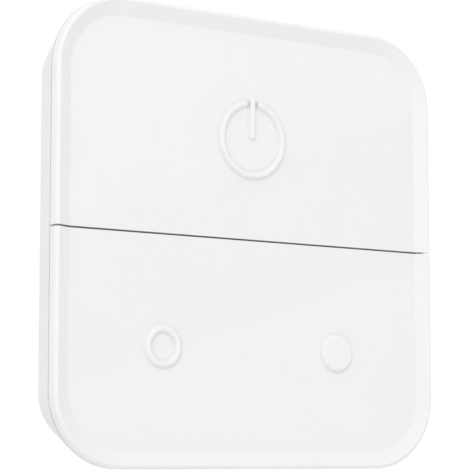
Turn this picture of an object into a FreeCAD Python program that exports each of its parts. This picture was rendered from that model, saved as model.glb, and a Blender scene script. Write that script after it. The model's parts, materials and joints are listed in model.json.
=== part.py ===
import FreeCAD, Part
import math
import os
import Sketcher

# Wireless wall switch: a tapered rear housing on a slide-on wall plate, with an upper key
# and a lower rocker key that share one dished front. Millimetres, +X right, +Z up, the front
# faces -Y, and the origin is on the wall at the middle of the switch.
# Every level below is a distance from the wall, counted towards the front.

DIMENSIONS = {
    # Overall form
    "side": 80.0,
    "corner": 13.0,
    "wall_gap": 0.5,
    "housing_height": 10.65,
    "taper_inset": 4.0,
    "seam_gap": 0.3,
    # Keys
    "skirt_depth": 2.05,
    "rim_round": 0.68,
    "rim_cut": 0.06,
    "rim_slope": 2.48,
    "dish_depth": 1.2,
    "dish_round": 0.6,
    "panel_wall": 1.5,
    "lip_inset": 2.0,
    "key_gap": 0.31,
    # Raised marks, each with a rounded crest and a flared foot
    "mark_height": 0.65,
    "mark_slope": 70.0,
    "crest_round": 0.62,
    "mark_sink": 0.01,
    "mark_root": 0.2,
    "power_inset": 22.0,
    "power_radius": 6.5,
    "power_break": 28.0,
    "bar_low": 0.53,
    "bar_high": 7.11,
    "side_mark_inset": 21.5,
    "side_mark_low_inset": 20.7,
    "ring_radius": 3.05,
    "dot_radius": 3.75,
    # Key hinges and the clips that snap onto them
    "pin_radius": 0.7,
    "pin_clearance": 0.05,
    "hinge_inset": 6.0,
    "hinge_side_inset": 16.0,
    "rocker_high": 8.0,
    "rocker_low_inset": 8.0,
    "clip_wall": 0.95,
    "clip_width": 3.0,
    "clip_mouth": 1.1,
    "clip_room": 0.5,
    # Rear housing
    "housing_wall": 1.6,
    "floor_wall": 1.4,
    "rear_round": 0.5,
    # Wall plate and its adhesive pad
    "plate_side_inset": 6.2,
    "plate_top_inset": 12.5,
    "plate_corner": 6.0,
    "plate_thick": 1.8,
    "plate_clearance": 0.4,
    "pad_thick": 0.8,
    "pad_side_inset": 10.8,
    "pad_top_inset": 4.5,
    "pad_corner": 4.0,
    "lift_travel": 6.0,
    "stud_radius": 1.6,
    "stud_head_radius": 3.0,
    "stud_head_thick": 1.0,
    "stud_across": 20.0,
    "stud_up": 16.0,
    "stud_clearance": 0.2,
    "wall_screw_edge": 3.8,
    "wall_screw_radius": 2.0,
    "wall_screw_head": 3.5,
    "sink_depth": 1.2,
    "relief_round": 3.0,
    # Coin cell and its cover
    "cell_radius": 10.0,
    "cell_thick": 3.2,
    "cell_step": 0.5,
    "cell_clearance": 0.4,
    "cover_thick": 1.2,
    "cover_wall": 1.4,
    "cover_clearance": 0.2,
    "lug_reach": 1.4,
    "lug_thick": 0.8,
    "lug_angle": 26.0,
    "notch_angle": 34.0,
    "unlock_angle": 45.0,
    "coin_slot_length": 15.0,
    "coin_slot_width": 2.2,
    "coin_slot_depth": 0.7,
    "coin_slot_round": 0.9,
    "barrel_wall": 1.2,
    # Spring contacts
    "contact_sheet": 0.25,
    "contact_width": 4.0,
    "contact_gap": 0.02,
    "contact_room": 0.3,
    "leaf_foot": 4.8,
    # Circuit board
    "board_side_inset": 6.0,
    "board_top_inset": 15.0,
    "board_thick": 1.0,
    "board_corner": 2.0,
    "post_radius": 1.7,
    "post_pin_radius": 0.9,
    "post_pin_room": 0.1,
    "post_edge": 3.0,
    "post_up": 11.0,
    # Soldered components
    "radio_gap": 1.9,
    "chip_side": 5.0,
    "chip_thick": 0.85,
    "shield_width": 12.0,
    "shield_height": 11.0,
    "shield_thick": 1.5,
    "shield_sheet": 0.2,
    "crystal_aside": 3.0,
    "crystal_down": 8.4,
    "crystal_width": 3.2,
    "crystal_height": 2.5,
    "crystal_thick": 0.8,
    "antenna_edge": 8.0,
    "antenna_top_edge": 2.8,
    "antenna_width": 6.0,
    "antenna_height": 2.0,
    "antenna_thick": 1.1,
    "capacitor_gap": 5.4,
    "capacitor_pitch": 3.5,
    "large_capacitor_up": 2.0,
    "large_capacitor_width": 1.6,
    "large_capacitor_height": 3.2,
    "large_capacitor_thick": 1.2,
    "small_capacitor_down": 4.0,
    "small_capacitor_width": 1.2,
    "small_capacitor_height": 2.0,
    "small_capacitor_thick": 0.9,
    # Snap domes and the posts that press them
    "dome_radius": 3.5,
    "dome_rise": 0.35,
    "dome_sheet": 0.1,
    "dome_rim": 0.3,
    "crown_radius": 1.6,
    "crown_drop": 0.05,
    "upper_dome_up": 6.0,
    "dome_side_inset": 10.0,
    "window_radius": 3.9,
    "plunger_radius": 1.3,
    "plunger_gap": 0.05,
    # Inner frame and its screws
    "frame_thick": 1.2,
    "frame_clearance": 0.35,
    "frame_screw_side_inset": 8.0,
    "frame_screw_top_inset": 9.0,
    "screw_radius": 1.0,
    "screw_bore_room": 0.15,
    "screw_length": 4.2,
    "screw_head_radius": 1.9,
    "screw_head_thick": 1.0,
    "screw_seat_room": 0.2,
    "cross_reach": 1.1,
    "cross_half_width": 0.25,
    "cross_depth": 0.6,
    "boss_radius": 2.6,
    # Pairing button and its switch
    "button_gap": 6.4,
    "button_radius": 2.4,
    "button_clearance": 0.15,
    "button_recess": 0.2,
    "button_flange": 3.2,
    "flange_thick": 0.6,
    "button_travel": 0.25,
    "switch_width": 4.5,
    "switch_height": 0.8,
    "switch_round": 0.4,
    "switch_floor": 0.2,
    "actuator_radius": 0.9,
    "actuator_rise": 0.35,
    "actuator_room": 0.1,
    "actuator_spare": 0.05,
}

# How closely a point must lie on a level to count as being at it
LEVEL_TOLERANCE = 1e-4

doc = FreeCAD.newDocument("wall_switch")
sheet = doc.addObject("Spreadsheet::Sheet", "dims")
for row, (alias, number) in enumerate(DIMENSIONS.items(), start=1):
    sheet.set(f"A{row}", alias)
    sheet.set(f"B{row}", str(number))
    sheet.setAlias(f"B{row}", alias)
doc.recompute()


def sized(words):
    """Turns plain dimension names in an expression into references to the sheet."""
    out = []
    word = ""
    for letter in words + " ":
        if letter.isalnum() or letter == "_":
            word += letter
            continue
        out.append(f"dims.{word}" if word in DIMENSIONS else word)
        out.append(letter)
        word = ""
    return "".join(out).strip()


def value(words):
    """The number that an expression of dimension names stands for now."""
    return float(sheet.evalExpression(sized(words)))


# Levels that several pieces share, from the wall to the front
PLATE_FRONT = "(pad_thick + plate_thick)"
RECESS = f"({PLATE_FRONT} + plate_clearance)"
FLOOR = f"({RECESS} + floor_wall)"
CELL_BACK = f"({RECESS} + cover_thick + cover_clearance)"
CELL_FRONT = f"({CELL_BACK} + cell_thick)"
BOARD_BACK = f"({CELL_FRONT} + 2 * contact_sheet)"
BOARD_FRONT = f"({BOARD_BACK} + board_thick)"
FRAME_FRONT = f"({BOARD_FRONT} + frame_thick)"
PIN_LEVEL = f"({BOARD_FRONT} + frame_thick / 2)"
DOME_TOP = f"({BOARD_FRONT} + dome_rise)"
LUG_BACK = f"({FLOOR} + cover_clearance)"
LUG_FRONT = f"({LUG_BACK} + lug_thick)"
SEAM = "(wall_gap + housing_height)"
SKIRT = f"({SEAM} + seam_gap)"
CREST = f"({SKIRT} + skirt_depth)"
PANEL = f"({CREST} - dish_depth)"
UNDERSIDE = f"({PANEL} - panel_wall)"

# Radii about the middle of the switch
COVER_RADIUS = "(cell_radius + cell_clearance + cover_wall)"
LUG_RADIUS = f"({COVER_RADIUS} + lug_reach)"
COVER_HOLE = f"({COVER_RADIUS} + cover_clearance)"
BARREL_BORE = f"({LUG_RADIUS} + cover_clearance)"
BARREL_RADIUS = f"({BARREL_BORE} + barrel_wall)"

# Half sizes and places that follow the edges of the switch
PLATE_HALF_WIDTH = "(side / 2 - plate_side_inset)"
PLATE_HALF_HEIGHT = "(side / 2 - plate_top_inset)"
PAD_HALF_WIDTH = f"({PLATE_HALF_WIDTH} - pad_side_inset)"
PAD_HALF_HEIGHT = f"({PLATE_HALF_HEIGHT} - pad_top_inset)"
WALL_SCREW = f"({PLATE_HALF_WIDTH} - wall_screw_edge)"
BOARD_HALF_WIDTH = "(side / 2 - board_side_inset)"
BOARD_HALF_HEIGHT = "(side / 2 - board_top_inset)"
POST_ACROSS = f"({BOARD_HALF_WIDTH} - post_edge)"
HINGE_HEIGHT = "(side / 2 - hinge_inset)"
HINGE_ACROSS = "(side / 2 - hinge_side_inset)"
ROCKER_LOW = "(side / 2 - rocker_low_inset)"
POWER_CENTRE = "(side / 2 - power_inset)"
SIDE_MARK_ACROSS = "(side / 2 - side_mark_inset)"
SIDE_MARK_DOWN = "(side / 2 - side_mark_low_inset)"
DOME_ACROSS = "(side / 2 - dome_side_inset)"
SCREW_ACROSS = "(side / 2 - frame_screw_side_inset)"
SCREW_UP = "(side / 2 - frame_screw_top_inset)"
BUTTON_DOWN = f"({BARREL_RADIUS} + button_gap)"
CLIP_RADIUS = "(pin_radius + pin_clearance + clip_wall)"

# The section of a raised mark: two arcs that meet where the flank is steepest
RIDGE_HEIGHT = "(mark_height + mark_sink)"
RIDGE_HALF = f"({RIDGE_HEIGHT} / tan(mark_slope * 0.5 deg))"
FOOT_ROUND = f"({RIDGE_HEIGHT} / (1 - cos(mark_slope * 1 deg)) - crest_round)"
FLANK_OUT = "(crest_round * sin(mark_slope * 1 deg))"
FLANK_HEIGHT = "(mark_height - crest_round * (1 - cos(mark_slope * 1 deg)))"
ROOT = "(-mark_sink - mark_root)"


def four_places(across, up):
    """Four places that mirror each other about the middle of the switch."""
    return [(f"{a} * {across}", f"{b} * {up}") for a in (-1, 1) for b in (-1, 1)]


STUD_PLACES = four_places("stud_across", "stud_up")
POST_PLACES = four_places(POST_ACROSS, "post_up")
SCREW_PLACES = four_places(SCREW_ACROSS, SCREW_UP)
WALL_SCREW_PLACES = {"left": f"-{WALL_SCREW}", "right": WALL_SCREW}
HINGE_PLACES = {"left": f"-{HINGE_ACROSS}", "right": HINGE_ACROSS}
ROCKER_PLACES = {"high": "-rocker_high", "low": f"-{ROCKER_LOW}"}
DOME_PLACES = {
    "upper": ("0", "upper_dome_up"),
    "left": (f"-{DOME_ACROSS}", f"-{SIDE_MARK_DOWN}"),
    "right": (DOME_ACROSS, f"-{SIDE_MARK_DOWN}"),
}

# Soldered components: across, up, width, height and thickness of each block
RADIO_ACROSS = f"(-{BARREL_RADIUS} - radio_gap - shield_width / 2)"
FIRST_CAPACITOR = f"({BARREL_RADIUS} + capacitor_gap)"
NEXT_CAPACITOR = f"({FIRST_CAPACITOR} + capacitor_pitch)"
LARGE_CAPACITOR = ("large_capacitor_up", "large_capacitor_width", "large_capacitor_height",
                   "large_capacitor_thick")
SMALL_CAPACITOR = ("-small_capacitor_down", "small_capacitor_width", "small_capacitor_height",
                   "small_capacitor_thick")
SHIELD = (RADIO_ACROSS, "0", "shield_width", "shield_height", "shield_thick")
BLOCKS = {
    "radio_chip": [(RADIO_ACROSS, "0", "chip_side", "chip_side", "chip_thick")],
    "crystal": [(f"{RADIO_ACROSS} + crystal_aside", "-crystal_down", "crystal_width",
                 "crystal_height", "crystal_thick")],
    "chip_antenna": [(f"antenna_edge - {BOARD_HALF_WIDTH}",
                      f"{BOARD_HALF_HEIGHT} - antenna_top_edge", "antenna_width",
                      "antenna_height", "antenna_thick")],
    "board_capacitors": [(across, *capacitor) for across in (FIRST_CAPACITOR, NEXT_CAPACITOR)
                         for capacitor in (LARGE_CAPACITOR, SMALL_CAPACITOR)],
}


def half_at(level, inset):
    """Half width of the tapered housing at a level, less an inset."""
    return f"(side / 2 - taper_inset * ({SEAM} - {level}) / housing_height - ({inset}))"


def corner_at(level, inset):
    """Corner radius of the tapered housing at a level, less an inset."""
    return f"(corner - taper_inset * ({SEAM} - {level}) / housing_height - ({inset}))"


# Helpers that draw sketches and add features
def bind(thing, path, words):
    thing.setExpression(path, sized(words))


def new_body(label):
    body = doc.addObject("PartDesign::Body", label)
    body.Label = label
    return body


def plane_of(body, role):
    for feature in body.Origin.OriginFeatures:
        if feature.Role == role:
            return feature
    raise ValueError(role)


def new_sketch(body, name, level, role="XZ_Plane"):
    """A sketch on an origin plane, moved along the plane's normal by a level."""
    sketch = body.newObject("Sketcher::SketchObject", name)
    sketch.AttachmentSupport = (plane_of(body, role), [""])
    sketch.MapMode = "FlatFace"
    bind(sketch, "AttachmentOffset.Base.z", level)
    return sketch


def dimension(sketch, kind, name, words, *where):
    """One named constraint of a sketch, bound to an expression of dimension names."""
    index = sketch.addConstraint(Sketcher.Constraint(kind, *where, value(words)))
    sketch.renameConstraint(index, name)
    bind(sketch, f"Constraints.{name}", words)


def draw_circle(sketch, tag, x, z, radius):
    centre = FreeCAD.Vector(value(x), value(z), 0)
    circle = sketch.addGeometry(Part.Circle(centre, FreeCAD.Vector(0, 0, 1), value(radius)), False)
    dimension(sketch, "DistanceX", f"{tag}_x", x, -1, 1, circle, 3)
    dimension(sketch, "DistanceY", f"{tag}_z", z, -1, 1, circle, 3)
    dimension(sketch, "Radius", f"{tag}_radius", radius, circle)


def draw_outline(sketch, tag, left, right, low, high, rounds=(None, None, None, None)):
    """A rectangle whose corners, from the lower left round to the upper left, may be round."""
    x = [value(left), value(right)]
    z = [value(low), value(high)]
    corners = [(x[0], z[0]), (x[1], z[0]), (x[1], z[1]), (x[0], z[1])]
    along = [(1, 0), (0, 1), (-1, 0), (0, -1)]
    radii = [value(r) if r else 0.0 for r in rounds]
    lines = []
    for i in range(4):
        j = (i + 1) % 4
        start = [corners[i][k] + along[i][k] * radii[i] for k in (0, 1)]
        end = [corners[j][k] - along[i][k] * radii[j] for k in (0, 1)]
        segment = Part.LineSegment(FreeCAD.Vector(*start, 0), FreeCAD.Vector(*end, 0))
        lines.append(sketch.addGeometry(segment, False))
    for i in range(4):
        before = lines[i - 1]
        after = lines[i]
        if not radii[i]:
            sketch.addConstraint(Sketcher.Constraint("Coincident", before, 2, after, 1))
            continue
        inward = [along[i][k] - along[i - 1][k] for k in (0, 1)]
        centre = [corners[i][k] + inward[k] * radii[i] for k in (0, 1)]
        circle = Part.Circle(FreeCAD.Vector(*centre, 0), FreeCAD.Vector(0, 0, 1), radii[i])
        begin = math.pi + i * math.pi / 2
        arc = sketch.addGeometry(Part.ArcOfCircle(circle, begin, begin + math.pi / 2), False)
        sketch.addConstraint(Sketcher.Constraint("Tangent", before, 2, arc, 1))
        sketch.addConstraint(Sketcher.Constraint("Tangent", arc, 2, after, 1))
        dimension(sketch, "Radius", f"{tag}_round_{i}", rounds[i], arc)
    for line in (lines[0], lines[2]):
        sketch.addConstraint(Sketcher.Constraint("Horizontal", line))
    for line in (lines[1], lines[3]):
        sketch.addConstraint(Sketcher.Constraint("Vertical", line))
    dimension(sketch, "DistanceY", f"{tag}_low", low, -1, 1, lines[0], 1)
    dimension(sketch, "DistanceX", f"{tag}_right", right, -1, 1, lines[1], 1)
    dimension(sketch, "DistanceY", f"{tag}_high", high, -1, 1, lines[2], 1)
    dimension(sketch, "DistanceX", f"{tag}_left", left, -1, 1, lines[3], 1)


def draw_square(sketch, tag, half, radius):
    """A rounded square about the middle of the switch."""
    draw_outline(sketch, tag, f"-{half}", half, f"-{half}", half, (radius,) * 4)


def draw_profile(sketch, tag, points, arcs=None):
    """A closed outline through points. A side that is an arc has its centre and radius in arcs."""
    arcs = arcs or {}
    places = [FreeCAD.Vector(value(x), value(z), 0) for x, z in points]
    count = len(points)
    sides = []
    for i in range(count):
        start = places[i]
        end = places[(i + 1) % count]
        if i not in arcs:
            line = sketch.addGeometry(Part.LineSegment(start, end), False)
            sides.append((line, 1, 2))
            continue
        x, z, radius = arcs[i]
        centre = FreeCAD.Vector(value(x), value(z), 0)
        circle = Part.Circle(centre, FreeCAD.Vector(0, 0, 1), value(radius))
        first = start - centre
        last = end - centre
        turns_left = first.cross(last).z > 0
        angles = [math.atan2(ray.y, ray.x) for ray in ((first, last) if turns_left else (last, first))]
        arc = sketch.addGeometry(Part.ArcOfCircle(circle, *angles), False)
        sides.append((arc, 1, 2) if turns_left else (arc, 2, 1))
    for i in range(count):
        before, _, before_end = sides[i - 1]
        side, side_start, _ = sides[i]
        sketch.addConstraint(Sketcher.Constraint("Coincident", before, before_end, side, side_start))
        dimension(sketch, "DistanceX", f"{tag}_x{i}", points[i][0], -1, 1, side, side_start)
        dimension(sketch, "DistanceY", f"{tag}_z{i}", points[i][1], -1, 1, side, side_start)
        if i in arcs:
            dimension(sketch, "Radius", f"{tag}_radius{i}", arcs[i][2], side)


def draw_sector(sketch, tag, inner, outer, angle, middle):
    """A piece of a ring about the sketch's origin: two arcs and two radial lines."""
    half = math.radians(value(angle)) / 2
    turn = math.radians(value(middle))
    inside = value(inner)
    outside = value(outer)

    def place(radius, theta):
        return FreeCAD.Vector(radius * math.cos(theta), radius * math.sin(theta), 0)

    up = FreeCAD.Vector(0, 0, 1)
    centre = FreeCAD.Vector(0, 0, 0)
    low = turn - half
    high = turn + half
    far = sketch.addGeometry(Part.ArcOfCircle(Part.Circle(centre, up, outside), low, high), False)
    near = sketch.addGeometry(Part.ArcOfCircle(Part.Circle(centre, up, inside), low, high), False)
    first = sketch.addGeometry(Part.LineSegment(place(inside, low), place(outside, low)), False)
    last = sketch.addGeometry(Part.LineSegment(place(inside, high), place(outside, high)), False)
    middle_line = sketch.addGeometry(Part.LineSegment(centre, place(outside, turn)), True)
    for arc in (far, near):
        sketch.addConstraint(Sketcher.Constraint("Coincident", arc, 3, -1, 1))
    for line, end in ((first, 1), (last, 2)):
        sketch.addConstraint(Sketcher.Constraint("Coincident", line, 1, near, end))
        sketch.addConstraint(Sketcher.Constraint("Coincident", line, 2, far, end))
    sketch.addConstraint(Sketcher.Constraint("Coincident", middle_line, 1, -1, 1))
    sketch.addConstraint(Sketcher.Constraint("PointOnObject", middle_line, 2, far))
    for line in (first, last):
        sketch.addConstraint(Sketcher.Constraint("PointOnObject", -1, 1, line))
    dimension(sketch, "Radius", f"{tag}_inner", inner, near)
    dimension(sketch, "Radius", f"{tag}_outer", outer, far)
    for name, words, line in (("middle", middle, middle_line),
                              ("start", f"{middle} - {angle} / 2", first),
                              ("end", f"{middle} + {angle} / 2", last)):
        index = sketch.addConstraint(Sketcher.Constraint("Angle", -1, line,
                                                         math.radians(value(words))))
        sketch.renameConstraint(index, f"{tag}_{name}")
        bind(sketch, f"Constraints.{tag}_{name}", f"({words}) * 1 deg")


def pad(body, sketch, length, towards_wall=False):
    feature = body.newObject("PartDesign::Pad", f"{sketch.Name}_pad")
    feature.Profile = sketch
    bind(feature, "Length", length)
    feature.Reversed = towards_wall
    sketch.Visibility = False


def pocket(body, sketch, depth, towards_wall=True):
    """Cuts from the sketch towards the wall, or towards the front."""
    feature = body.newObject("PartDesign::Pocket", f"{sketch.Name}_pocket")
    feature.Profile = sketch
    bind(feature, "Length", depth)
    feature.Reversed = not towards_wall
    sketch.Visibility = False


def loft(body, first, last, cut=False):
    kind = "PartDesign::SubtractiveLoft" if cut else "PartDesign::AdditiveLoft"
    feature = body.newObject(kind, f"{first.Name}_loft")
    feature.Profile = first
    feature.Sections = [last]
    feature.Ruled = True


def revolve(body, sketch, axis, angle="360", cut=False):
    """Turns a sketch about one of its lines. A part turn is even to both sides of the sketch."""
    kind = "PartDesign::Groove" if cut else "PartDesign::Revolution"
    feature = body.newObject(kind, f"{sketch.Name}_turn")
    feature.Profile = sketch
    feature.ReferenceAxis = (sketch, [axis])
    bind(feature, "Angle", angle)
    feature.Midplane = angle != "360"


def round_edges(body, radius, chosen, name):
    """Fillets the edges of the body's last feature that the test picks."""
    doc.recompute()
    base = body.Tip
    edges = [f"Edge{i}" for i, edge in enumerate(base.Shape.Edges, start=1) if chosen(edge)]
    feature = body.newObject("PartDesign::Fillet", name)
    feature.Base = (base, edges)
    bind(feature, "Radius", radius)


def at_level(edge, level):
    """True where the whole edge lies at one distance from the wall."""
    box = edge.BoundBox
    return max(abs(box.YMin + level), abs(box.YMax + level)) < LEVEL_TOLERANCE


# Wall plate: a flat plate with two countersunk holes and four headed studs
def make_wall_plate():
    body = new_body("wall_plate")
    outline = new_sketch(body, "plate_outline", "pad_thick")
    draw_outline(outline, "plate", f"-{PLATE_HALF_WIDTH}", PLATE_HALF_WIDTH,
                 f"-{PLATE_HALF_HEIGHT}", PLATE_HALF_HEIGHT, ("plate_corner",) * 4)
    pad(body, outline, "plate_thick")
    holes = new_sketch(body, "wall_screw_holes", PLATE_FRONT)
    for tag, across in WALL_SCREW_PLACES.items():
        draw_circle(holes, tag, across, "0", "wall_screw_radius")
    pocket(body, holes, "plate_thick")
    for tag, across in WALL_SCREW_PLACES.items():
        sink = new_sketch(body, f"sink_{tag}", "0", "XY_Plane")
        draw_profile(sink, "sink", [
            (across, f"-{PLATE_FRONT}"),
            (f"{across} + wall_screw_head", f"-{PLATE_FRONT}"),
            (f"{across} + wall_screw_radius", f"-{PLATE_FRONT} + sink_depth"),
            (across, f"-{PLATE_FRONT} + sink_depth"),
        ])
        revolve(body, sink, "Edge4", cut=True)
    stems = new_sketch(body, "stud_stems", PLATE_FRONT)
    heads = new_sketch(body, "stud_heads", f"{FLOOR} + stud_clearance")
    for i, (across, up) in enumerate(STUD_PLACES):
        draw_circle(stems, f"stem_{i}", across, up, "stud_radius")
        draw_circle(heads, f"head_{i}", across, up, "stud_head_radius")
    pad(body, stems, f"{FLOOR} + stud_clearance + stud_head_thick / 2 - {PLATE_FRONT}")
    pad(body, heads, "stud_head_thick")


def make_adhesive_pad():
    body = new_body("adhesive_pad")
    outline = new_sketch(body, "pad_outline", "0")
    draw_outline(outline, "pad", f"-{PAD_HALF_WIDTH}", PAD_HALF_WIDTH,
                 f"-{PAD_HALF_HEIGHT}", PAD_HALF_HEIGHT, ("pad_corner",) * 4)
    pad(body, outline, "pad_thick")


# Rear housing: tapered walls, a recess for the wall plate and the cell compartment
def make_rear_housing():
    body = new_body("rear_housing")
    rear = new_sketch(body, "housing_rear", "wall_gap")
    draw_square(rear, "rear", half_at("wall_gap", "0"), corner_at("wall_gap", "0"))
    front = new_sketch(body, "housing_seam", SEAM)
    draw_square(front, "seam", half_at(SEAM, "0"), corner_at(SEAM, "0"))
    loft(body, rear, front)
    round_edges(body, "rear_round", lambda e: at_level(e, value("wall_gap")), "rear_rounding")

    # The hollow keeps the wall's thickness along the taper
    low = new_sketch(body, "hollow_floor", FLOOR)
    draw_square(low, "low", half_at(FLOOR, "housing_wall"), corner_at(FLOOR, "housing_wall"))
    high = new_sketch(body, "hollow_seam", SEAM)
    draw_square(high, "high", half_at(SEAM, "housing_wall"), corner_at(SEAM, "housing_wall"))
    loft(body, low, high, cut=True)
    recess = new_sketch(body, "plate_recess", "wall_gap")
    draw_square(recess, "recess", half_at("wall_gap", "housing_wall"),
                corner_at("wall_gap", "housing_wall"))
    pocket(body, recess, f"{RECESS} - wall_gap", towards_wall=False)

    # Barrel of the cell compartment, bosses for the frame screws and posts for the board
    barrel = new_sketch(body, "barrel", FLOOR)
    draw_circle(barrel, "barrel", "0", "0", BARREL_RADIUS)
    pad(body, barrel, f"{CELL_FRONT} - {FLOOR} - contact_sheet")
    bosses = new_sketch(body, "screw_bosses", FLOOR)
    for i, (across, up) in enumerate(SCREW_PLACES):
        draw_circle(bosses, f"boss_{i}", across, up, "boss_radius")
    pad(body, bosses, f"{BOARD_BACK} - {FLOOR}")
    posts = new_sketch(body, "board_posts", FLOOR)
    pins = new_sketch(body, "post_pins", BOARD_BACK)
    for i, (across, up) in enumerate(POST_PLACES):
        draw_circle(posts, f"post_{i}", across, up, "post_radius")
        draw_circle(pins, f"pin_{i}", across, up, "post_pin_radius")
    pad(body, posts, f"{BOARD_BACK} - {FLOOR}")
    pad(body, pins, "board_thick - post_pin_room")

    # Stepped bore for the cover, its lugs and the cell
    bore = new_sketch(body, "cell_bore", RECESS)
    draw_circle(bore, "cell", "0", "0", "cell_radius + cell_clearance")
    pocket(body, bore, f"{CELL_FRONT} - {RECESS}", towards_wall=False)
    mouth = new_sketch(body, "cover_mouth", RECESS)
    draw_circle(mouth, "mouth", "0", "0", COVER_HOLE)
    pocket(body, mouth, f"{LUG_FRONT} + cover_clearance - {RECESS}", towards_wall=False)
    track = new_sketch(body, "lug_track", FLOOR)
    draw_circle(track, "track", "0", "0", BARREL_BORE)
    pocket(body, track, f"{LUG_FRONT} + cover_clearance - {FLOOR}", towards_wall=False)
    notches = new_sketch(body, "lug_notches", RECESS)
    for i in range(3):
        draw_sector(notches, f"notch_{i}", "cell_radius", BARREL_BORE, "notch_angle",
                    f"{120 * i + 90} - unlock_angle")
    pocket(body, notches, f"{FLOOR} - {RECESS}", towards_wall=False)

    # Slot in the barrel for the spring contact that bears on the cell's side
    slot = new_sketch(body, "contact_slot", CELL_FRONT)
    draw_outline(slot, "slot", "-contact_width / 2 - contact_room",
                 "contact_width / 2 + contact_room", "cell_radius",
                 f"{BARREL_RADIUS} + contact_room")
    pocket(body, slot, f"{CELL_FRONT} - {LUG_FRONT} - 2 * cover_clearance")

    # Keyholes that hang on the plate's studs: wide below, narrow where the stud rests
    wide = new_sketch(body, "keyhole_wide", RECESS)
    narrow = new_sketch(body, "keyhole_narrow", RECESS)
    for i, (across, up) in enumerate(STUD_PLACES):
        draw_circle(wide, f"wide_{i}", across, f"{up} - lift_travel",
                    "stud_head_radius + 2 * stud_clearance")
        draw_outline(narrow, f"narrow_{i}",
                     f"{across} - stud_radius - stud_clearance",
                     f"{across} + stud_radius + stud_clearance",
                     f"{up} - lift_travel", f"{up} + stud_radius + stud_clearance",
                     (None, None, "stud_radius", "stud_radius"))
    pocket(body, wide, "floor_wall", towards_wall=False)
    pocket(body, narrow, "floor_wall", towards_wall=False)

    # Room for the wall screws' heads, pilot bores and the pairing button's hole
    relief = new_sketch(body, "screw_head_relief", RECESS)
    for tag, across in WALL_SCREW_PLACES.items():
        draw_outline(relief, tag, f"{across} - wall_screw_head", f"{across} + wall_screw_head",
                     "-wall_screw_head - lift_travel", "wall_screw_head", ("relief_round",) * 4)
    pocket(body, relief, "floor_wall / 2", towards_wall=False)
    pilots = new_sketch(body, "pilot_bores", BOARD_BACK)
    for i, (across, up) in enumerate(SCREW_PLACES):
        draw_circle(pilots, f"pilot_{i}", across, up, "screw_radius")
    pocket(body, pilots, f"{BOARD_BACK} - {FLOOR}")
    button = new_sketch(body, "button_hole", RECESS)
    draw_circle(button, "button", "0", f"-{BUTTON_DOWN}", "button_radius + button_clearance")
    pocket(body, button, "floor_wall", towards_wall=False)


# Cover of the cell compartment: a disc with a skirt, three bayonet lugs and a coin slot
def make_battery_cover():
    body = new_body("battery_cover")
    disc = new_sketch(body, "cover_disc", RECESS)
    draw_circle(disc, "disc", "0", "0", COVER_RADIUS)
    pad(body, disc, f"{LUG_FRONT} - {RECESS}")
    inside = new_sketch(body, "cover_inside", LUG_FRONT)
    draw_circle(inside, "inside", "0", "0", "cell_radius + cell_clearance")
    pocket(body, inside, f"{LUG_FRONT} - {RECESS} - cover_thick")
    lugs = new_sketch(body, "cover_lugs", LUG_BACK)
    for i in range(3):
        draw_sector(lugs, f"lug_{i}", f"{COVER_RADIUS} - cover_wall / 2", LUG_RADIUS,
                    "lug_angle", f"{120 * i + 90}")
    pad(body, lugs, "lug_thick")
    slot = new_sketch(body, "coin_slot", RECESS)
    draw_outline(slot, "slot", "-coin_slot_length / 2", "coin_slot_length / 2",
                 "-coin_slot_width / 2", "coin_slot_width / 2", ("coin_slot_round",) * 4)
    pocket(body, slot, "coin_slot_depth", towards_wall=False)


def make_coin_cell():
    body = new_body("coin_cell")
    section = new_sketch(body, "cell_section", "0", "XY_Plane")
    draw_profile(section, "cell", [
        ("0", f"-{CELL_BACK}"),
        ("cell_radius", f"-{CELL_BACK}"),
        ("cell_radius", f"-{CELL_FRONT} + cell_step"),
        ("cell_radius - cell_step", f"-{CELL_FRONT} + cell_step / 2"),
        ("cell_radius - 2 * cell_step", f"-{CELL_FRONT} + cell_step / 2"),
        ("cell_radius - 2 * cell_step", f"-{CELL_FRONT}"),
        ("0", f"-{CELL_FRONT}"),
    ])
    revolve(body, section, "Edge7")


# Spring contacts, bent from strip: one bears on the cell's side and one on its face
def make_cell_contacts():
    side = new_body("cell_contact_side")
    strip = new_sketch(side, "side_strip", "-contact_width / 2", "YZ_Plane")
    touch = "cell_radius + contact_gap"
    tip = f"-{LUG_FRONT} - 3 * cover_clearance"
    draw_profile(strip, "strip", [
        (tip, touch),
        (tip, f"{touch} + contact_sheet"),
        (f"-{BOARD_BACK} + contact_sheet", f"{touch} + contact_sheet"),
        (f"-{BOARD_BACK} + contact_sheet", f"{touch} + contact_width"),
        (f"-{BOARD_BACK}", f"{touch} + contact_width"),
        (f"-{BOARD_BACK}", touch),
    ])
    pad(side, strip, "contact_width")

    face = new_body("cell_contact_face")
    leaf = new_sketch(face, "face_leaf", "-contact_width / 2", "XY_Plane")
    half = "contact_width / 2"
    draw_profile(leaf, "leaf", [
        (f"-{half}", f"-{CELL_FRONT}"),
        (half, f"-{CELL_FRONT}"),
        ("leaf_foot", f"-{CELL_FRONT} - contact_sheet"),
        (f"leaf_foot + {half}", f"-{CELL_FRONT} - contact_sheet"),
        (f"leaf_foot + {half}", f"-{BOARD_BACK}"),
        ("leaf_foot - contact_sheet", f"-{BOARD_BACK}"),
        (f"{half} - contact_sheet", f"-{CELL_FRONT} - contact_sheet"),
        (f"-{half}", f"-{CELL_FRONT} - contact_sheet"),
    ])
    pad(face, leaf, "contact_width")


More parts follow.
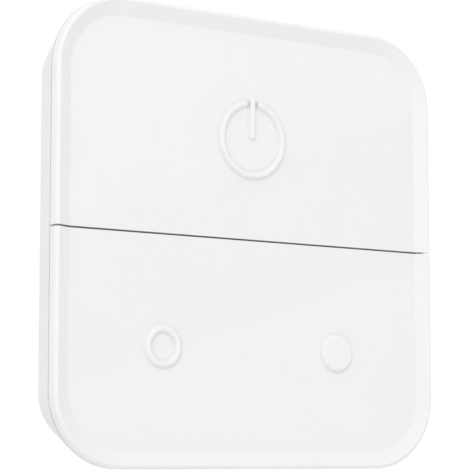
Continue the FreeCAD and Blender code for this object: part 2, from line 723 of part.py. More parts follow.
def make_circuit_board():
    body = new_body("circuit_board")
    outline = new_sketch(body, "board_outline", BOARD_BACK)
    draw_outline(outline, "board", f"-{BOARD_HALF_WIDTH}", BOARD_HALF_WIDTH,
                 f"-{BOARD_HALF_HEIGHT}", BOARD_HALF_HEIGHT, ("board_corner",) * 4)
    pad(body, outline, "board_thick")
    holes = new_sketch(body, "board_holes", BOARD_FRONT)
    for i, (across, up) in enumerate(POST_PLACES):
        draw_circle(holes, f"hole_{i}", across, up, "post_pin_radius + post_pin_room")
    pocket(body, holes, "board_thick")
    # Window for the rocker key's upper clip
    window = new_sketch(body, "board_window", BOARD_FRONT)
    reach = "clip_width / 2 + clip_room + 2 * pin_radius"
    draw_outline(window, "window", f"-{CLIP_RADIUS} - clip_room", f"{CLIP_RADIUS} + clip_room",
                 f"-rocker_high - ({reach})", f"-rocker_high + {reach}")
    pocket(body, window, "board_thick")


def draw_block(sketch, tag, block, inset="0"):
    across, up, width, height, _ = block
    draw_outline(sketch, tag, f"{across} - {width} / 2 + {inset}",
                 f"{across} + {width} / 2 - {inset}",
                 f"{up} - {height} / 2 + {inset}", f"{up} + {height} / 2 - {inset}")


# Components on the board's rear, and a folded shield over the radio chip
def make_components():
    for label, blocks in BLOCKS.items():
        body = new_body(label)
        for i, block in enumerate(blocks):
            outline = new_sketch(body, f"{label}_outline_{i}", BOARD_BACK)
            draw_block(outline, "block", block)
            pad(body, outline, block[4], towards_wall=True)
    body = new_body("radio_shield")
    outline = new_sketch(body, "shield_outline", BOARD_BACK)
    draw_block(outline, "shield", SHIELD)
    pad(body, outline, "shield_thick", towards_wall=True)
    inside = new_sketch(body, "shield_inside", BOARD_BACK)
    draw_block(inside, "inside", SHIELD, "shield_sheet")
    pocket(body, inside, "shield_thick - shield_sheet")


# Sheet-metal snap domes under the keys, turned about their own axes
def make_domes():
    for place, (across, up) in DOME_PLACES.items():
        body = new_body(f"snap_dome_{place}")
        section = new_sketch(body, f"dome_section_{place}", up, "XY_Plane")
        draw_profile(section, "dome", [
            (across, f"-{DOME_TOP}"),
            (f"{across} + crown_radius", f"-{DOME_TOP} + crown_drop"),
            (f"{across} + dome_radius", f"-{BOARD_FRONT}"),
            (f"{across} + dome_radius - dome_rim", f"-{BOARD_FRONT}"),
            (f"{across} + crown_radius", f"-{DOME_TOP} + crown_drop + dome_sheet"),
            (across, f"-{DOME_TOP} + dome_sheet"),
        ])
        revolve(body, section, "Edge6")


# Pairing button in the housing's floor, and the small switch that it presses
def make_pairing_button():
    middle = f"-{BUTTON_DOWN}"
    switch_back = f"({BOARD_BACK} - switch_height)"
    tip = f"({switch_back} - actuator_rise)"
    flange_level = f"({FLOOR} + button_clearance)"
    cap = new_body("pairing_button")
    shaft = new_sketch(cap, "button_shaft", f"{RECESS} + button_recess")
    draw_circle(shaft, "shaft", "0", middle, "button_radius")
    pad(cap, shaft, f"{flange_level} + flange_thick / 2 - {RECESS} - button_recess")
    flange = new_sketch(cap, "button_flange_outline", flange_level)
    draw_circle(flange, "flange", "0", middle, "button_flange")
    pad(cap, flange, "flange_thick")
    stem = new_sketch(cap, "button_stem", f"{flange_level} + flange_thick")
    draw_circle(stem, "stem", "0", middle, "button_radius / 2")
    pad(cap, stem, f"{tip} - {flange_level} - flange_thick")

    case = new_body("pairing_switch")
    outline = new_sketch(case, "switch_outline", switch_back)
    draw_outline(outline, "case", "-switch_width / 2", "switch_width / 2",
                 f"{middle} - switch_width / 2", f"{middle} + switch_width / 2",
                 ("switch_round",) * 4)
    pad(case, outline, "switch_height")
    well = new_sketch(case, "switch_well", switch_back)
    draw_circle(well, "well", "0", middle, "actuator_radius + actuator_room")
    pocket(case, well, "switch_height - switch_floor", towards_wall=False)

    plunger = new_body("pairing_plunger")
    round_bar = new_sketch(plunger, "plunger_outline", tip)
    draw_circle(round_bar, "plunger", "0", middle, "actuator_radius")
    pad(plunger, round_bar,
        "actuator_rise + switch_height - switch_floor - button_travel - actuator_spare")


# Inner frame: holds the board down and carries the keys' hinge pins
def make_inner_frame():
    body = new_body("inner_frame")
    inset = "housing_wall + frame_clearance"
    plate = new_sketch(body, "frame_outline", BOARD_FRONT)
    draw_square(plate, "frame", half_at(BOARD_FRONT, inset), corner_at(BOARD_FRONT, inset))
    pad(body, plate, "frame_thick")
    sleeves = new_sketch(body, "screw_sleeves", BOARD_BACK)
    bores = new_sketch(body, "screw_bores", BOARD_BACK)
    seats = new_sketch(body, "screw_seats", FRAME_FRONT)
    for i, (across, up) in enumerate(SCREW_PLACES):
        draw_circle(sleeves, f"sleeve_{i}", across, up, "boss_radius")
        draw_circle(bores, f"bore_{i}", across, up, "screw_radius + screw_bore_room")
        draw_circle(seats, f"seat_{i}", across, up, "screw_head_radius + screw_seat_room")
    pad(body, sleeves, "board_thick")
    pocket(body, bores, "board_thick + frame_thick", towards_wall=False)
    pocket(body, seats, "frame_thick")
    windows = new_sketch(body, "dome_windows", FRAME_FRONT)
    for place, (across, up) in DOME_PLACES.items():
        draw_circle(windows, place, across, up, "window_radius")
    pocket(body, windows, "frame_thick")

    # A window for each clip, with its pin left across it
    gaps = new_sketch(body, "clip_windows", FRAME_FRONT)
    wide = f"({CLIP_RADIUS} + clip_room)"
    long = "(clip_width / 2 + clip_room)"
    for tag, across in HINGE_PLACES.items():
        draw_outline(gaps, tag, f"{across} - {long}", f"{across} + {long}",
                     f"{HINGE_HEIGHT} - {wide}", f"{HINGE_HEIGHT} + {wide}")
    for tag, up in ROCKER_PLACES.items():
        draw_outline(gaps, tag, f"-{wide}", wide, f"{up} - {long}", f"{up} + {long}")
    pocket(body, gaps, "frame_thick")
    reach = f"2 * {long} + 2 * pin_radius"
    for tag, across in HINGE_PLACES.items():
        pin = new_sketch(body, f"hinge_pin_{tag}", f"{across} - {long} - pin_radius", "YZ_Plane")
        draw_circle(pin, "pin", f"-{PIN_LEVEL}", HINGE_HEIGHT, "pin_radius")
        pad(body, pin, reach)
    for tag, up in ROCKER_PLACES.items():
        pin = new_sketch(body, f"rocker_pin_{tag}", f"{up} - {long} - pin_radius", "XY_Plane")
        draw_circle(pin, "pin", "0", f"-{PIN_LEVEL}", "pin_radius")
        pad(body, pin, reach)


def make_frame_screws():
    body = new_body("frame_screws")
    heads = new_sketch(body, "screw_heads", BOARD_FRONT)
    shanks = new_sketch(body, "screw_shanks", BOARD_FRONT)
    for i, (across, up) in enumerate(SCREW_PLACES):
        draw_circle(heads, f"head_{i}", across, up, "screw_head_radius")
        draw_circle(shanks, f"shank_{i}", across, up, "screw_radius")
    pad(body, heads, "screw_head_thick")
    pad(body, shanks, "screw_length", towards_wall=True)
    for tag, wide, tall in (("flat", "cross_reach", "cross_half_width"),
                            ("upright", "cross_half_width", "cross_reach")):
        cross = new_sketch(body, f"cross_{tag}", f"{BOARD_FRONT} + screw_head_thick")
        for i, (across, up) in enumerate(SCREW_PLACES):
            draw_outline(cross, f"cross_{i}", f"{across} - {wide}", f"{across} + {wide}",
                         f"{up} - {tall}", f"{up} + {tall}")
        pocket(body, cross, "cross_depth")


# Keys: one dished front, split at the middle into an upper key and a lower rocker
def draw_key(sketch, tag, half, radius, split, upper):
    """Half of a rounded square: its corners are round only away from the split."""
    if upper:
        draw_outline(sketch, tag, f"-({half})", half, split, half, (None, None, radius, radius))
    else:
        draw_outline(sketch, tag, f"-({half})", half, f"-({half})", f"-({split})",
                     (radius, radius, None, None))


def make_key_shell(body, upper):
    """The shell: a rounded rim that the slope cuts into a little, the slope and the flat panel."""
    split = "key_gap / 2"
    skirt = new_sketch(body, "skirt", SKIRT)
    draw_key(skirt, "skirt", "side / 2", "corner", split, upper)
    pad(body, skirt, "skirt_depth")
    lip = new_sketch(body, "lip", UNDERSIDE)
    draw_key(lip, "lip", "side / 2 - lip_inset", "corner - lip_inset", split, upper)
    pad(body, lip, f"{SKIRT} - {UNDERSIDE}")

    def off_split(edge):
        box = edge.BoundBox
        return max(abs(box.ZMin), abs(box.ZMax)) > value("key_gap")

    crest_level = value(CREST)
    round_edges(body, "rim_round", lambda e: at_level(e, crest_level) and off_split(e),
                "rim_rounding")
    crest = new_sketch(body, "dish_crest", CREST)
    foot = new_sketch(body, "dish_foot", PANEL)
    slope_top = "(rim_round - rim_cut)"
    slope_foot = "(rim_round - rim_cut + rim_slope)"
    draw_key(crest, "crest", f"side / 2 - {slope_top}", f"corner - {slope_top}",
             "-key_gap", upper)
    draw_key(foot, "foot", f"side / 2 - {slope_foot}", f"corner - {slope_foot}",
             "-key_gap", upper)
    loft(body, crest, foot, cut=True)
    panel_level = value(PANEL)
    round_edges(body, "dish_round", lambda e: at_level(e, panel_level) and off_split(e),
                "dish_rounding")


def draw_ridge(section, place):
    """The section of a ridge. Place turns a distance outwards and a height into coordinates."""
    foot = "(-mark_sink)"
    far_side = f"(-1 * {RIDGE_HALF})"
    foot_centre = f"({FOOT_ROUND} - mark_sink)"
    draw_profile(section, "ridge", [
        place(far_side, ROOT),
        place(RIDGE_HALF, ROOT),
        place(RIDGE_HALF, foot),
        place(FLANK_OUT, FLANK_HEIGHT),
        place(f"(-1 * {FLANK_OUT})", FLANK_HEIGHT),
        place(far_side, foot),
    ], {
        2: (*place(RIDGE_HALF, foot_centre), FOOT_ROUND),
        3: (*place("0", "(mark_height - crest_round)"), "crest_round"),
        4: (*place(far_side, foot_centre), FOOT_ROUND),
    })


def add_ridge_ring(body, name, across, up, radius, angle="360"):
    """A raised ring, open at the top where the angle is under 360."""
    section = new_sketch(body, name, across, "YZ_Plane")
    middle = f"{up} - {radius}"
    draw_ridge(section, lambda out, height: (f"-{PANEL} - {height}", f"{middle} + {out}"))
    start = FreeCAD.Vector(-value(PANEL), value(up), 0)
    end = FreeCAD.Vector(0, value(up), 0)
    axis = section.addGeometry(Part.LineSegment(start, end), True)
    section.addConstraint(Sketcher.Constraint("Horizontal", axis))
    dimension(section, "DistanceY", "axis_height", up, -1, 1, axis, 1)
    revolve(body, section, "Axis0", angle)


def add_round_mark(body, name, across, up, flat=None):
    """A round mark or the round end of a ridge, with a flat top if a radius is given for it."""
    section = new_sketch(body, name, up, "XY_Plane")
    shoulder = flat or "0"

    def place(out, height):
        return (f"{across} + {out}", f"-{PANEL} - {height}")

    foot = f"({shoulder} + {RIDGE_HALF})"
    points = [
        place("0", ROOT),
        place(foot, ROOT),
        place(foot, "(-mark_sink)"),
        place(f"({shoulder} + {FLANK_OUT})", FLANK_HEIGHT),
        place(shoulder, "mark_height"),
    ]
    if flat:
        points.append(place("0", "mark_height"))
    draw_profile(section, "mark", points, {
        2: (*place(foot, f"({FOOT_ROUND} - mark_sink)"), FOOT_ROUND),
        3: (*place(shoulder, "(mark_height - crest_round)"), "crest_round"),
    })
    revolve(body, section, f"Edge{len(points)}")


def add_ridge_bar(body, name, across, low, high):
    """A raised upright bar with round ends."""
    section = new_sketch(body, name, low, "XY_Plane")
    draw_ridge(section, lambda out, height: (f"{across} + {out}", f"-{PANEL} - {height}"))
    pad(body, section, f"{high} - ({low})")
    add_round_mark(body, f"{name}_low_end", across, low)
    add_round_mark(body, f"{name}_high_end", across, high)


def add_power_mark(body):
    """A broken ring with a bar through the break."""
    add_ridge_ring(body, "power_ring", "0", POWER_CENTRE, "power_radius", "360 - power_break")
    end_up = f"{POWER_CENTRE} + power_radius * cos(power_break * 0.5 deg)"
    end_across = "power_radius * sin(power_break * 0.5 deg)"
    add_round_mark(body, "power_end_left", f"-{end_across}", end_up)
    add_round_mark(body, "power_end_right", end_across, end_up)
    add_ridge_bar(body, "power_bar", "0", f"{POWER_CENTRE} + bar_low",
                  f"{POWER_CENTRE} + bar_high")


def add_clip(body, name, role, start, middle):
    """A snap-on clip that hangs from the key's underside and opens towards the wall."""
    along_x = role == "YZ_Plane"
    near = f"{middle} - {CLIP_RADIUS}"
    far = f"{middle} + {CLIP_RADIUS}"
    root = f"-{UNDERSIDE} - panel_wall / 4"
    axis = f"-{PIN_LEVEL}"
    block = new_sketch(body, f"{name}_block", start, role)
    tube = new_sketch(body, f"{name}_tube", start, role)
    bore = new_sketch(body, f"{name}_bore", start, role)
    mouth = new_sketch(body, f"{name}_mouth", start, role)
    bore_radius = "pin_radius + pin_clearance"
    open_near = f"{middle} - clip_mouth / 2"
    open_far = f"{middle} + clip_mouth / 2"
    tip = f"{axis} + {CLIP_RADIUS} + clip_room"
    if along_x:
        draw_outline(block, "block", root, axis, near, far)
        draw_circle(tube, "tube", axis, middle, CLIP_RADIUS)
        draw_circle(bore, "bore", axis, middle, bore_radius)
        draw_outline(mouth, "mouth", axis, tip, open_near, open_far)
    else:
        draw_outline(block, "block", near, far, root, axis)
        draw_circle(tube, "tube", middle, axis, CLIP_RADIUS)
        draw_circle(bore, "bore", middle, axis, bore_radius)
        draw_outline(mouth, "mouth", open_near, open_far, axis, tip)
    pad(body, block, "clip_width")
    pad(body, tube, "clip_width")
    pocket(body, bore, "clip_width", towards_wall=False)
    pocket(body, mouth, "clip_width", towards_wall=False)


def add_plunger(body, dome):
    """A post that ends just above its snap dome."""
    across, up = DOME_PLACES[dome]
    post = new_sketch(body, f"plunger_{dome}", f"{DOME_TOP} + plunger_gap")
    draw_circle(post, "post", across, up, "plunger_radius")
    pad(body, post, f"{UNDERSIDE} + panel_wall / 4 - {DOME_TOP} - plunger_gap")


def make_upper_key():
    body = new_body("upper_key")
    make_key_shell(body, True)
    add_power_mark(body)
    for tag, across in HINGE_PLACES.items():
        add_clip(body, f"clip_{tag}", "YZ_Plane", f"{across} - clip_width / 2", HINGE_HEIGHT)
    add_plunger(body, "upper")


def make_lower_key():
    body = new_body("lower_key")
    make_key_shell(body, False)
    add_ridge_ring(body, "small_ring", f"-{SIDE_MARK_ACROSS}", f"-{SIDE_MARK_DOWN}",
                   "ring_radius")
    add_round_mark(body, "dot", SIDE_MARK_ACROSS, f"-{SIDE_MARK_DOWN}",
                   f"(dot_radius - {RIDGE_HALF})")
    for tag, up in ROCKER_PLACES.items():
        add_clip(body, f"clip_{tag}", "XY_Plane", f"{up} - clip_width / 2", "0")
    add_plunger(body, "left")
    add_plunger(body, "right")


def check_and_export():
    """Checks every object and each piece's shape, then writes one STEP file for each piece."""
    doc.recompute()
    for thing in doc.Objects:
        if "Invalid" in thing.State or "Error" in thing.State:
            raise RuntimeError(f"{thing.Label} failed: {thing.State}")
    pieces = [thing for thing in doc.Objects if thing.TypeId == "PartDesign::Body"]
    for piece in pieces:
        if piece.Shape.isNull() or not piece.Shape.isValid():
            raise RuntimeError(f"{piece.Label} has no valid shape")
    os.makedirs("parts", exist_ok=True)
    for piece in pieces:
        piece.Shape.exportStep(f"parts/{piece.Label}.step")
        print(piece.Label, len(piece.Shape.Solids), "solids", round(piece.Shape.Volume, 2), "mm3")


make_wall_plate()
make_adhesive_pad()
make_rear_housing()
make_battery_cover()
make_coin_cell()
make_cell_contacts()
make_circuit_board()
make_components()
make_domes()
make_pairing_button()
make_inner_frame()
make_frame_screws()
make_upper_key()
make_lower_key()
check_and_export()
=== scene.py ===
import json
import math

import bpy
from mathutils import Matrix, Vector


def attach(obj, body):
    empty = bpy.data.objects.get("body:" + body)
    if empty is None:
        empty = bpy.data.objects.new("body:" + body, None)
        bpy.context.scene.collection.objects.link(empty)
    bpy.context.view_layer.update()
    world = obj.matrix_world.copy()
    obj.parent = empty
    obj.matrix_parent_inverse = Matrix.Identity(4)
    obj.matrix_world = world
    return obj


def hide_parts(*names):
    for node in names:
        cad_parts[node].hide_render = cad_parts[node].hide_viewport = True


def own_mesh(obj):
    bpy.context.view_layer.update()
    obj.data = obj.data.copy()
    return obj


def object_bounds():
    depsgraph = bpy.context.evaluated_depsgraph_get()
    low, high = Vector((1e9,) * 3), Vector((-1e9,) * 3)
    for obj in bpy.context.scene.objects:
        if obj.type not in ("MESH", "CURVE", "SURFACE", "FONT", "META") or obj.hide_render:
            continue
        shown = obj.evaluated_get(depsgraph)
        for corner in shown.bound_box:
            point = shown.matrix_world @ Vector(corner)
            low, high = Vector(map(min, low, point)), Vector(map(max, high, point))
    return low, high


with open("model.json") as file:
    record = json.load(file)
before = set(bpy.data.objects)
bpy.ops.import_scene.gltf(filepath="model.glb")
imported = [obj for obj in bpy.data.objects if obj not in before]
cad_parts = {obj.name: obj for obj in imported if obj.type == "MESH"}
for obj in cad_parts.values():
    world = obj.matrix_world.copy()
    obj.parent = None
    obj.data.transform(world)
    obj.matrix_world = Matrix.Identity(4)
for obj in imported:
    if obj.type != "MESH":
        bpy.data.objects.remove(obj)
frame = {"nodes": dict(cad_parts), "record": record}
cad_low, cad_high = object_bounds()

MM = 0.001

# Camera at the photograph's place and angle, and its focal length in the photograph's pixels
LENS_PIXELS = 1939.4
FRAME_PIXELS = 470
SENSOR_WIDTH = 36.0
CAMERA_PLACE = Vector((-194.2, -291.35, -38.66)) * MM
CAMERA_YAW = math.radians(34.33)
CAMERA_PITCH = math.radians(6.65)
CAMERA_RANGE = (0.01, 50.0)

# Lights: the world's even light, and for each soft lamp the way to it and its power
WHITE = (1.0, 1.0, 1.0, 1.0)
WORLD_LEVEL = 0.8
LAMP_DISTANCE = 1.2
LAMP_SIZE = 1.1
LAMPS = {
    "key_lamp": ((-0.57, -0.77, 0.29), 2.85),
    "side_lamp": ((-0.88, -0.45, 0.15), 0.62),
    "top_lamp": ((-0.25, -0.45, 0.86), 1.6),
}

# Floor: its drop below the switch, and the distances over which it fades into the white
FLOOR_DROP = 0.04
FLOOR_SIZE = 6.0
FLOOR_COLOUR = (0.90, 0.90, 0.90)
FLOOR_ROUGHNESS = 0.8
FLOOR_FADE = (0.3, 1.6)

# Dim wall that the glossy front mirrors, with its edges as they show in photograph pixels
UPPER_EDGE = ((70.0, 222.0), (415.0, 113.0))
LOWER_EDGE = ((70.0, 390.0), (420.0, 258.0))
WALL_SPAN = (-200.0, 670.0)
WALL_DISTANCE = 1.3
WALL_LEVEL = 0.5

# How far the flat front lies behind the keys' rim
DISH_DEPTH = 1.2 * MM

# Painted shade in tight inner corners: its reach, and the open shares at which it is full and
# gone
PAINTED_SHADE_REACH = 0.6 * MM
PAINTED_SHADE_RANGE = (0.75, 0.93)
PAINTED_SHADE_SAMPLES = 16

# Each snap dome and the joint of the key that presses it
DOME_JOINTS = {
    "snap_dome_upper": "upper_key_press",
    "snap_dome_left": "lower_key_rock",
    "snap_dome_right": "lower_key_rock",
}

# The range that holds most values of a noise, and the range of a share
NOISE_RANGE = (0.3, 0.7)
SHARE_RANGE = (0.0, 1.0)

# Moulded plastic: textures in cells per metre, relief, and how unevenly it shines
GRAIN_SCALE = 4200.0
GRAIN_RELIEF = 0.012 * MM
FLOW_SCALE = 55.0
PLASTIC_GLOSS_SCALE = 900.0
PLASTIC_GLOSS_SPREAD = (-0.04, 0.05)
COAT_ROUGHNESS = 0.04
PLASTICS = {
    # The key plastic gets painted shade in its tight inner corners
    "key_plastic": {"colour": (0.90, 0.90, 0.90), "rough": 0.38, "grain": 2.2, "coat": 0.6,
                    "painted_shade": 0.25},
    "housing_plastic": {"colour": (0.90, 0.90, 0.90), "rough": 0.45, "grain": 1.7},
    "frame_plastic": {"colour": (0.78, 0.78, 0.77), "rough": 0.5, "grain": 1.6},
    "base_plastic": {"colour": (0.82, 0.82, 0.82), "rough": 0.5, "grain": 1.6},
    "button_plastic": {"colour": (0.55, 0.56, 0.57), "rough": 0.45},
    "chip": {"colour": (0.02, 0.02, 0.022), "rough": 0.5, "grain": 2.0, "variation": 0.2},
    "ceramic": {"colour": (0.42, 0.33, 0.25), "rough": 0.4, "grain": 1.5, "variation": 0.1},
}

# Sheet metal: drawn lines along one way, and smudges that darken it and change its gloss
LINE_SCALE = 900.0
LINE_STRETCH = (1.0, 1.0, 12.0)
LINE_RELIEF = 0.006 * MM
SMUDGE_SCALE = 160.0
SMUDGE_SHADE = 0.86
SMUDGE_GLOSS_SPREAD = (-0.06, 0.08)
METALS = {
    "cell_steel": {"colour": (0.72, 0.72, 0.71), "rough": 0.28},
    "contact_steel": {"colour": (0.78, 0.76, 0.70), "rough": 0.3},
    "screw_steel": {"colour": (0.62, 0.62, 0.62), "rough": 0.32},
}

# Foam of the adhesive pad: closed pores, with painted shade in their hollow middles
FOAM_COLOUR = (0.75, 0.75, 0.74)
PAINTED_PORE_SHADE = 0.8
FOAM_ROUGHNESS = (0.8, 0.95)
FOAM_GLOSS_SCALE = 700.0
PORE_SCALE = 2600.0
PAINTED_PORE_RANGE = (0.0, 0.5)
PORE_RELIEF = 0.08 * MM

# Circuit board: solder mask over tracks
MASK_DARK = (0.012, 0.10, 0.045)
MASK_LIGHT = (0.03, 0.17, 0.08)
MASK_ROUGHNESS = (0.25, 0.4)
MASK_GLOSS_SCALE = 800.0
TRACK_SCALE = 160.0
TRACK_WIDTH = 0.03
TRACK_RELIEF = 0.03 * MM


class Nodes:
    """The shader nodes of a material or a world, with short ways to add and link them."""

    def __init__(self, owner):
        owner.use_nodes = True
        self.tree = owner.node_tree
        self.tree.nodes.clear()

    def add(self, kind, **values):
        node = self.tree.nodes.new(kind)
        for key, value in values.items():
            setattr(node, key, value)
        return node

    def link(self, start, end):
        self.tree.links.new(start, end)


def new_material(name):
    """An empty material and its nodes."""
    material = bpy.data.materials.new(name)
    return material, Nodes(material)


def show(nodes, surface):
    """Makes a shader the look of its material."""
    output = nodes.add("ShaderNodeOutputMaterial")
    nodes.link(surface, output.inputs["Surface"])


def new_surface(name):
    """A material with its nodes, the place on the piece and one principled shader."""
    material, nodes = new_material(name)
    place = nodes.add("ShaderNodeTexCoord").outputs["Object"]
    shader = nodes.add("ShaderNodeBsdfPrincipled")
    show(nodes, shader.outputs["BSDF"])
    return material, nodes, place, shader


def noise(nodes, place, scale, detail=2.0, rough=0.5):
    """Noise whose scale is in cells per metre."""
    node = nodes.add("ShaderNodeTexNoise")
    node.inputs["Scale"].default_value = scale
    node.inputs["Detail"].default_value = detail
    node.inputs["Roughness"].default_value = rough
    nodes.link(place, node.inputs["Vector"])
    return node.outputs["Fac"]


def spread(nodes, value, target, source=NOISE_RANGE):
    """Maps a value from its source range to a target range."""
    node = nodes.add("ShaderNodeMapRange")
    node.inputs["From Min"].default_value = source[0]
    node.inputs["From Max"].default_value = source[1]
    node.inputs["To Min"].default_value = target[0]
    node.inputs["To Max"].default_value = target[1]
    nodes.link(value, node.inputs["Value"])
    return node.outputs["Result"]


def tint(nodes, share, dark, light):
    """A colour between two, by a share from 0 to 1."""
    node = nodes.add("ShaderNodeMix", data_type="RGBA")
    node.inputs["A"].default_value = (*dark, 1.0)
    node.inputs["B"].default_value = (*light, 1.0)
    nodes.link(share, node.inputs["Factor"])
    return node.outputs["Result"]


def raise_surface(nodes, shader, height, relief):
    """Gives a shader the fine relief of a height texture."""
    node = nodes.add("ShaderNodeBump")
    node.inputs["Distance"].default_value = relief
    nodes.link(height, node.inputs["Height"])
    nodes.link(node.outputs["Normal"], shader.inputs["Normal"])


def vary_gloss(nodes, shader, texture, limits):
    """Lets a shader's roughness follow a texture between two limits."""
    nodes.link(spread(nodes, texture, limits), shader.inputs["Roughness"])


def shaded(colour, share):
    """A share of a colour's light."""
    return [channel * share for channel in colour]


def around(level, reach):
    """The limits that lie a reach below and above a level."""
    return level + reach[0], level + reach[1]


def paint_crease_shade(nodes, colour, depth):
    """Darkens a colour with painted shade in the tight inner corners, where the piece shelters
    itself.
    """
    occlusion = nodes.add("ShaderNodeAmbientOcclusion", samples=PAINTED_SHADE_SAMPLES, only_local=True)
    occlusion.inputs["Distance"].default_value = PAINTED_SHADE_REACH
    level = spread(nodes, occlusion.outputs["AO"], (1.0 - depth, 1.0), PAINTED_SHADE_RANGE)
    dimmed = nodes.add("ShaderNodeVectorMath", operation="SCALE")
    nodes.link(colour, dimmed.inputs[0])
    nodes.link(level, dimmed.inputs["Scale"])
    return dimmed.outputs["Vector"]


def moulded_plastic(name, colour, rough, grain=1.0, coat=0.0, variation=0.012, painted_shade=0.0):
    """Satin moulded plastic: fine spark grain, faint flow marks and uneven gloss."""
    material, nodes, place, shader = new_surface(name)
    flow = noise(nodes, place, FLOW_SCALE)
    shade = tint(nodes, spread(nodes, flow, SHARE_RANGE), shaded(colour, 1.0 - variation), colour)
    # Painted shade in the tight inner corners, such as at the feet of the raised marks
    if painted_shade:
        shade = paint_crease_shade(nodes, shade, painted_shade)
    nodes.link(shade, shader.inputs["Base Color"])
    gloss = noise(nodes, place, PLASTIC_GLOSS_SCALE)
    vary_gloss(nodes, shader, gloss, around(rough, PLASTIC_GLOSS_SPREAD))
    spark = noise(nodes, place, GRAIN_SCALE, detail=3.0, rough=0.6)
    raise_surface(nodes, shader, spark, GRAIN_RELIEF * grain)
    shader.inputs["Coat Weight"].default_value = coat
    shader.inputs["Coat Roughness"].default_value = COAT_ROUGHNESS
    return material


def sheet_metal(name, colour, rough):
    """Rolled or plated metal with fine drawn lines and soft smudges."""
    material, nodes, place, shader = new_surface(name)
    smudge = noise(nodes, place, SMUDGE_SCALE, detail=3.0)
    shade = tint(nodes, spread(nodes, smudge, SHARE_RANGE), shaded(colour, SMUDGE_SHADE), colour)
    nodes.link(shade, shader.inputs["Base Color"])
    vary_gloss(nodes, shader, smudge, around(rough, SMUDGE_GLOSS_SPREAD))
    stretch = nodes.add("ShaderNodeMapping")
    stretch.inputs["Scale"].default_value = LINE_STRETCH
    nodes.link(place, stretch.inputs["Vector"])
    lines = noise(nodes, stretch.outputs["Vector"], LINE_SCALE, detail=4.0, rough=0.6)
    raise_surface(nodes, shader, lines, LINE_RELIEF)
    shader.inputs["Metallic"].default_value = 1.0
    return material


def foam(name):
    """Closed-cell foam, with painted shade in the hollow middle of each pore."""
    material, nodes, place, shader = new_surface(name)
    pores = nodes.add("ShaderNodeTexVoronoi")
    pores.inputs["Scale"].default_value = PORE_SCALE
    nodes.link(place, pores.inputs["Vector"])
    depth = pores.outputs["Distance"]
    # Painted shade darkens the middle of each pore, where the relief sinks it into a hollow
    shade = tint(nodes, spread(nodes, depth, SHARE_RANGE, PAINTED_PORE_RANGE),
                 shaded(FOAM_COLOUR, PAINTED_PORE_SHADE), FOAM_COLOUR)
    nodes.link(shade, shader.inputs["Base Color"])
    vary_gloss(nodes, shader, noise(nodes, place, FOAM_GLOSS_SCALE), FOAM_ROUGHNESS)
    raise_surface(nodes, shader, depth, PORE_RELIEF)
    return material


def board_laminate(name):
    """Solder mask over copper tracks on a glass laminate."""
    material, nodes, place, shader = new_surface(name)
    tracks = nodes.add("ShaderNodeTexBrick")
    tracks.inputs["Scale"].default_value = TRACK_SCALE
    tracks.inputs["Mortar Size"].default_value = TRACK_WIDTH
    nodes.link(place, tracks.inputs["Vector"])
    track = tracks.outputs["Fac"]
    nodes.link(tint(nodes, track, MASK_DARK, MASK_LIGHT), shader.inputs["Base Color"])
    vary_gloss(nodes, shader, noise(nodes, place, MASK_GLOSS_SCALE), MASK_ROUGHNESS)
    raise_surface(nodes, shader, track, TRACK_RELIEF)
    return material


def make_finishes():
    """The finish of each material slot in the record."""
    finishes = {name: moulded_plastic(name, **look) for name, look in PLASTICS.items()}
    for name, look in METALS.items():
        finishes[name] = sheet_metal(name, **look)
    finishes["foam"] = foam("foam")
    finishes["board"] = board_laminate("board")
    return finishes


def dress_nodes():
    """Gives every CAD node the finish of its material slot."""
    finishes = make_finishes()
    for part in frame["record"]["subparts"]:
        node = frame["nodes"][part["node"]]
        node.data.materials.clear()
        node.data.materials.append(finishes[part["material_slot"]])


def make_springy_dome(name):
    """A copy of a snap dome that rides on the unit in place of its CAD node."""
    dome = bpy.data.objects.new(f"{name}_sheet", frame["nodes"][name].data.copy())
    bpy.context.scene.collection.objects.link(dome)
    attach(dome, "unit")
    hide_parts(name)
    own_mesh(dome)


def make_camera():
    """The photograph's camera."""
    data = bpy.data.cameras.new("camera")
    data.sensor_width = SENSOR_WIDTH
    data.lens = SENSOR_WIDTH * LENS_PIXELS / FRAME_PIXELS
    data.clip_start, data.clip_end = CAMERA_RANGE
    camera = bpy.data.objects.new("camera", data)
    camera.location = CAMERA_PLACE
    camera.rotation_euler = (math.pi / 2 + CAMERA_PITCH, 0.0, -CAMERA_YAW)
    bpy.context.scene.collection.objects.link(camera)
    bpy.context.scene.camera = camera


def make_world():
    """Even light that is pure white to the camera and in what mirrors or lets light through."""
    world = bpy.data.worlds.new("studio")
    bpy.context.scene.world = world
    nodes = Nodes(world)
    path = nodes.add("ShaderNodeLightPath")
    seen = path.outputs["Is Camera Ray"]
    for ray in ("Is Glossy Ray", "Is Transmission Ray"):
        either = nodes.add("ShaderNodeMath", operation="MAXIMUM")
        nodes.link(seen, either.inputs[0])
        nodes.link(path.outputs[ray], either.inputs[1])
        seen = either.outputs["Value"]
    level = spread(nodes, seen, (WORLD_LEVEL, 1.0), SHARE_RANGE)
    sky = nodes.add("ShaderNodeBackground")
    sky.inputs["Color"].default_value = WHITE
    nodes.link(level, sky.inputs["Strength"])
    output = nodes.add("ShaderNodeOutputWorld")
    nodes.link(sky.outputs["Background"], output.inputs["Surface"])


def make_lamps():
    """Large soft lamps that light the switch and show in no mirror image."""
    for name, (way, power) in LAMPS.items():
        data = bpy.data.lights.new(name, "AREA")
        data.shape = "SQUARE"
        data.size = LAMP_SIZE
        data.energy = power
        lamp = bpy.data.objects.new(name, data)
        direction = Vector(way).normalized()
        lamp.location = direction * LAMP_DISTANCE
        lamp.rotation_mode = "QUATERNION"
        lamp.rotation_quaternion = direction.to_track_quat("Z", "Y")
        lamp.visible_camera = False
        lamp.visible_glossy = False
        bpy.context.scene.collection.objects.link(lamp)


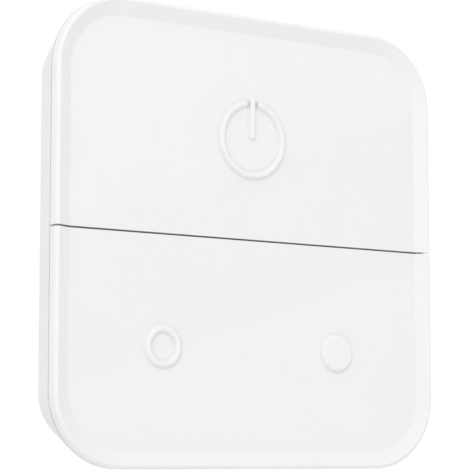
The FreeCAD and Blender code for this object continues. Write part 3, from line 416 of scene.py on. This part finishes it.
def flat_piece(name, corners, material):
    """A flat piece of the studio between four corners."""
    mesh = bpy.data.meshes.new(name)
    mesh.from_pydata(corners, [], [(0, 1, 2, 3)])
    mesh.materials.append(material)
    piece = bpy.data.objects.new(name, mesh)
    bpy.context.scene.collection.objects.link(piece)
    return piece


def fading_floor(name):
    """Pale matte that glows more and more white away from the switch."""
    material, nodes = new_material(name)
    matte = nodes.add("ShaderNodeBsdfPrincipled")
    matte.inputs["Base Color"].default_value = (*FLOOR_COLOUR, 1.0)
    matte.inputs["Roughness"].default_value = FLOOR_ROUGHNESS
    place = nodes.add("ShaderNodeTexCoord").outputs["Object"]
    distance = nodes.add("ShaderNodeVectorMath", operation="LENGTH")
    nodes.link(place, distance.inputs[0])
    fade = spread(nodes, distance.outputs["Value"], SHARE_RANGE, FLOOR_FADE)
    glow = nodes.add("ShaderNodeEmission")
    blend = nodes.add("ShaderNodeMixShader")
    nodes.link(fade, blend.inputs["Fac"])
    nodes.link(matte.outputs["BSDF"], blend.inputs[1])
    nodes.link(glow.outputs["Emission"], blend.inputs[2])
    show(nodes, blend.outputs["Shader"])
    return material


def make_floor():
    """A pale floor under the switch that fades into the white background."""
    low = cad_low.z - FLOOR_DROP
    half = FLOOR_SIZE / 2
    corners = [(-half, -half, low), (half, -half, low), (half, half, low), (-half, half, low)]
    floor = flat_piece("floor", corners, fading_floor("floor"))


def pixel_ray(x, y):
    """The direction through a photograph pixel, one metre deep, in the part's frame."""
    half = FRAME_PIXELS / 2
    across = (x - half) / LENS_PIXELS
    down = (y - half) / LENS_PIXELS
    forward = Vector((math.sin(CAMERA_YAW) * math.cos(CAMERA_PITCH),
                      math.cos(CAMERA_YAW) * math.cos(CAMERA_PITCH), math.sin(CAMERA_PITCH)))
    right = Vector((math.cos(CAMERA_YAW), -math.sin(CAMERA_YAW), 0.0))
    up = right.cross(forward)
    return forward + across * right - down * up


def mirrored(x, y, distance):
    """Where a thing stands that the flat front shows at a pixel, at a distance along the view."""
    place = CAMERA_PLACE + pixel_ray(x, y) * distance
    place.y = 2 * (cad_low.y + DISH_DEPTH) - place.y
    return place


def wall_edge(edge):
    """The two ends of a wall edge that shows in the flat front along a line of the photograph."""
    (x0, y0), (x1, y1) = edge
    slope = (y1 - y0) / (x1 - x0)
    return [mirrored(x, y0 + slope * (x - x0), WALL_DISTANCE) for x in WALL_SPAN]


def dim_glow(name):
    """An even glow, dimmer than the world."""
    material, nodes = new_material(name)
    glow = nodes.add("ShaderNodeEmission")
    glow.inputs["Strength"].default_value = WALL_LEVEL
    show(nodes, glow.outputs["Emission"])
    return material


def make_wall():
    """A dim wall that shows only in the glossy front, as a slanted band."""
    corners = wall_edge(UPPER_EDGE) + wall_edge(LOWER_EDGE)[::-1]
    wall = flat_piece("dim_wall", corners, dim_glow("dim_wall"))
    wall.visible_camera = False
    wall.visible_diffuse = False
    wall.visible_shadow = False
    wall.visible_transmission = False


make_camera()
make_world()
make_lamps()
make_floor()
dress_nodes()
for dome_name, dome_joint in DOME_JOINTS.items():
    make_springy_dome(dome_name)
make_wall()

bpy.context.scene.view_settings.view_transform = "Standard"
